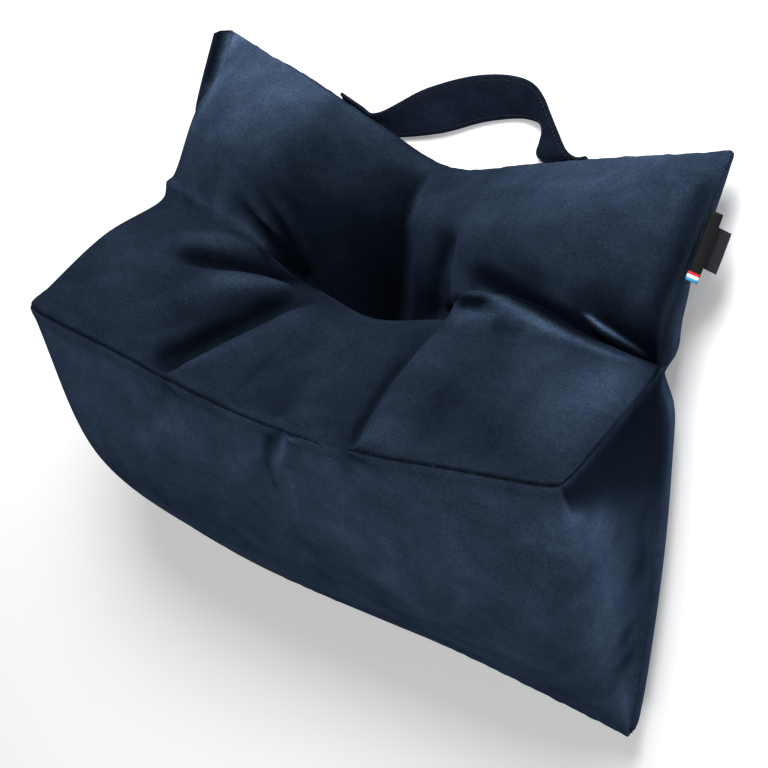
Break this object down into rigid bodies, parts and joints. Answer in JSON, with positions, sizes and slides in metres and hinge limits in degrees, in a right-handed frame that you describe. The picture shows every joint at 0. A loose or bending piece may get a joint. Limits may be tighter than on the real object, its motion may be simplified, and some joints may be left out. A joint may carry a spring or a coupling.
{
  "type": "lumbar cushion",
  "caption": "Wedge-shaped lumbar cushion of navy velvet with a seat-like front, a pleated backrest with pointed corners and a carrying strap.",
  "frame": {"origin": "middle of the whole part's footprint, on the plane its back lies on", "axes": "+X across the cushion to the ear with the labels, +Y up its back towards the strap, +Z out of its back towards the front seam"},
  "size_m": [0.5258, 0.5156, 0.275],
  "materials": {
    "velvet": "brushed navy velvet pile",
    "strap_velvet": "navy velvet, folded and topstitched",
    "woven_label": "black woven ribbon with a striped end",
    "care_tape": "dark grey printed tape, left blank"
  },
  "bodies": {
    "root": {"cushion": "velvet", "handle_strap": "strap_velvet", "side_label": "woven_label", "care_label": "care_tape"}
  },
  "joints": []
}
